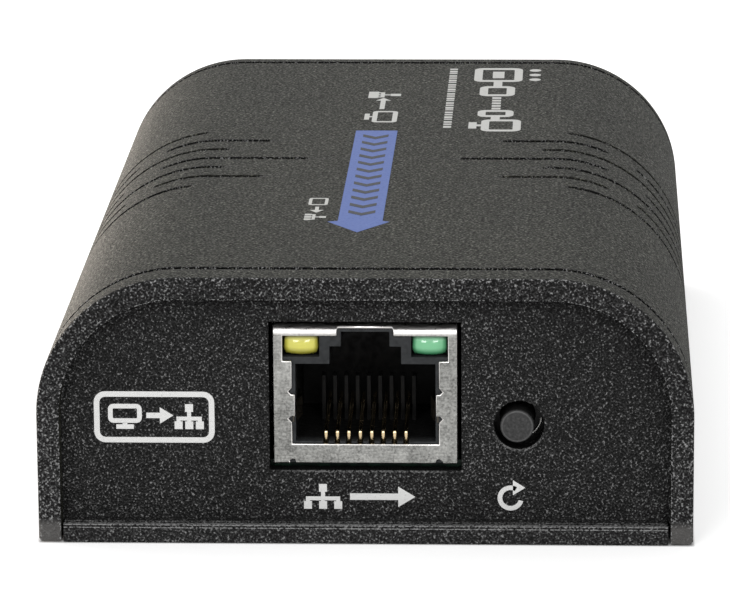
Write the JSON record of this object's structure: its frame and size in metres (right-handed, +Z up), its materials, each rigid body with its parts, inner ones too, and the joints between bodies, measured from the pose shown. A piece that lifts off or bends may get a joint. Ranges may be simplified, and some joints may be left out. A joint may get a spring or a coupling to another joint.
{
  "type": "hdmi extender",
  "caption": "Palm-sized black box with a network socket and reset button at one end, and video, power and infra-red jacks at the other.",
  "frame": {"origin": "on the ground, under the middle of the box", "axes": "+X to the right as seen from the network socket's end, +Y along the box from the network socket's end to the rear, +Z up"},
  "size_m": [0.058, 0.094, 0.0242],
  "materials": {
    "case_plastic": "black plastic with a fine spark-eroded grain",
    "panel_plastic": "black plastic with a coarse spark-eroded grain",
    "screw_steel": "zinc-plated steel",
    "board": "green solder mask on glass laminate",
    "socket_shield": "satin nickel-plated sheet",
    "socket_plastic": "smooth black plastic",
    "gold_contact": "gold-plated",
    "tinned_metal": "bright tin",
    "button_plastic": "smooth black plastic",
    "yellow_lamp": "clear yellow plastic",
    "green_lamp": "clear green plastic",
    "red_lamp": "clear red plastic",
    "blue_lamp": "clear blue plastic",
    "chip_plastic": "black moulded epoxy",
    "thermal_pad": "soft grey-blue silicone",
    "heat_sink": "satin extruded aluminium",
    "capacitor_can": "drawn aluminium can",
    "ferrite": "dull grey ferrite",
    "ceramic": "tan ceramic"
  },
  "bodies": {
    "case": {"top_shell": "case_plastic", "bottom_cover": "case_plastic", "front_panel": "panel_plastic", "rear_panel": "panel_plastic", "cover_screws": "screw_steel", "main_board": "board", "board_screws": "screw_steel", "lan_shield": "socket_shield", "lan_insert": "socket_plastic", "lan_contacts": "gold_contact", "lan_lamp_yellow": "yellow_lamp", "lan_lamp_green": "green_lamp", "lan_transformer": "chip_plastic", "reset_switch_body": "socket_plastic", "reset_switch_frame": "socket_shield", "reset_switch_terminals": "tinned_metal", "reset_snap_dome": "tinned_metal", "video_socket_shield": "socket_shield", "video_socket_tongue": "socket_plastic", "video_socket_contacts": "gold_contact", "power_jack_body": "socket_plastic", "power_jack_pin": "tinned_metal", "power_jack_spring": "tinned_metal", "ir_jack_body": "socket_plastic", "ir_jack_contacts": "tinned_metal", "power_light": "red_lamp", "link_light": "blue_lamp", "processor": "chip_plastic", "thermal_pad": "thermal_pad", "heat_sink": "heat_sink", "video_receiver": "chip_plastic", "network_chip": "chip_plastic", "memory_chip": "chip_plastic", "flash_chip": "chip_plastic", "chip_leads": "tinned_metal", "crystals": "tinned_metal", "electrolytic_capacitors": "capacitor_can", "power_inductors": "ferrite", "voltage_regulators": "chip_plastic", "chip_capacitors": "ceramic"},
    "button": {"reset_button": "button_plastic"}
  },
  "joints": [
    {"name": "reset_press", "type": "slide", "parent": "case", "child": "button", "axis": [0, 1, 0], "range_m": [0, 0.00025], "stiffness_N_per_m": 4000, "springref_m": -0.00015, "deforming": ["reset_snap_dome"]}
  ]
}
